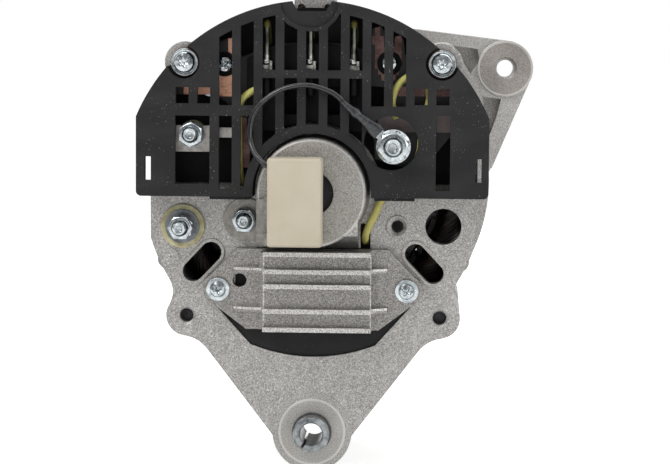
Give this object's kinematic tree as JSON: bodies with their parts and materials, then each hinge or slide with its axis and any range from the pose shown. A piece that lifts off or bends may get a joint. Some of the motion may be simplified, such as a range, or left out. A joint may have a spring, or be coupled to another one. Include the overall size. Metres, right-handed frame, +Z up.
{
  "type": "engine alternator",
  "caption": "Engine alternator with a slotted rear cover, rectifier, finned regulator, capacitor, pivot lug, adjuster ear, fan and V-belt pulley on a rotor.",
  "frame": {"origin": "centre of the pivot bush's bore, halfway along the bush", "axes": "+Z up from the pivot to the shaft, +Y along the shaft from the rear cover towards the pulley, +X to the adjuster ear's side"},
  "size_m": [0.1475, 0.1653, 0.174],
  "materials": {
    "cast_aluminium": "as cast, matt",
    "finned_aluminium": "die cast, satin",
    "laminated_steel": "varnished",
    "copper_wire": "enamelled",
    "zinc_steel": "bright zinc plate",
    "ground_steel": "ground",
    "spring_steel": "bright wire",
    "fan_steel": "zinc plated sheet",
    "pulley_paint": "satin black",
    "tinned_wire": "tinned",
    "copper_plate": "bare, tarnished",
    "black_plastic": "moulded, matt",
    "beige_plastic": "moulded, matt",
    "pale_insulator": "translucent, pale yellow",
    "diode_body": "moulded",
    "yellow_sleeve": "woven sleeve, matt",
    "black_cable": "satin",
    "carbon": "pressed carbon"
  },
  "bodies": {
    "housing": {"rear_bracket": "cast_aluminium", "front_bracket": "cast_aluminium", "stator_core": "laminated_steel", "stator_winding": "copper_wire", "through_bolts": "zinc_steel", "pivot_bush": "zinc_steel", "rear_cover": "black_plastic", "cover_screws": "zinc_steel", "cover_washers": "copper_plate", "rectifier_carrier": "black_plastic", "heat_sink_positive": "copper_plate", "heat_sink_negative": "copper_plate", "power_diodes": "zinc_steel", "diode_leads": "tinned_wire", "exciter_diodes": "diode_body", "rectifier_screws": "zinc_steel", "phase_leads": "yellow_sleeve", "ground_lead": "yellow_sleeve", "output_stud": "zinc_steel", "output_nut": "zinc_steel", "output_washers": "black_plastic", "terminal_studs": "zinc_steel", "terminal_nuts": "zinc_steel", "exciter_tab": "zinc_steel", "phase_tap_insulator": "pale_insulator", "terminal_washers": "zinc_steel", "capacitor_body": "beige_plastic", "capacitor_bracket": "zinc_steel", "capacitor_lead": "black_cable", "lead_sleeve": "black_cable", "ring_terminal": "zinc_steel", "regulator_housing": "finned_aluminium", "regulator_screws": "zinc_steel", "brush_holder": "black_plastic", "brush_spring_inner": "spring_steel", "brush_spring_outer": "spring_steel", "hub_plug": "black_plastic", "retainer_plate": "laminated_steel", "retainer_screws": "zinc_steel", "front_bearing_outer": "ground_steel", "rear_bearing_outer": "ground_steel", "bearing_seals": "black_cable"},
    "rotor": {"shaft": "ground_steel", "claw_pole_rear": "laminated_steel", "claw_pole_front": "laminated_steel", "field_bobbin": "pale_insulator", "field_coil": "copper_wire", "slip_ring_hub": "black_plastic", "slip_rings": "copper_plate", "cooling_fan": "fan_steel", "fan_spacer": "ground_steel", "pulley": "pulley_paint", "pulley_washer": "zinc_steel", "pulley_nut": "zinc_steel", "front_bearing_inner": "ground_steel", "rear_bearing_inner": "ground_steel"},
    "front_ball_set": {"front_bearing_balls": "ground_steel"},
    "rear_ball_set": {"rear_bearing_balls": "ground_steel"},
    "inner_brush": {"brush_inner": "carbon"},
    "outer_brush": {"brush_outer": "carbon"}
  },
  "joints": [
    {"name": "rotor_spin", "type": "hinge", "parent": "housing", "child": "rotor", "pos_m": [0, 0, 0.089], "axis": [0, 1, 0], "continuous": true},
    {"name": "front_balls_spin", "type": "hinge", "parent": "housing", "child": "front_ball_set", "pos_m": [0, 0.077, 0.089], "axis": [0, 1, 0], "continuous": true},
    {"name": "rear_balls_spin", "type": "hinge", "parent": "housing", "child": "rear_ball_set", "pos_m": [0, -0.0142, 0.089], "axis": [0, 1, 0], "continuous": true},
    {"name": "inner_brush_slide", "type": "slide", "parent": "housing", "child": "inner_brush", "axis": [0, 0, -1], "range_m": [0, 0.005], "stiffness_N_per_m": 150, "springref_m": -0.015, "deforming": ["brush_spring_inner"]},
    {"name": "outer_brush_slide", "type": "slide", "parent": "housing", "child": "outer_brush", "axis": [0, 0, -1], "range_m": [0, 0.005], "stiffness_N_per_m": 150, "springref_m": -0.015, "deforming": ["brush_spring_outer"]}
  ],
  "couplings": [
    {"joint": "front_balls_spin", "follows": "rotor_spin", "ratio": 0.36875},
    {"joint": "rear_balls_spin", "follows": "rotor_spin", "ratio": 0.36818}
  ]
}
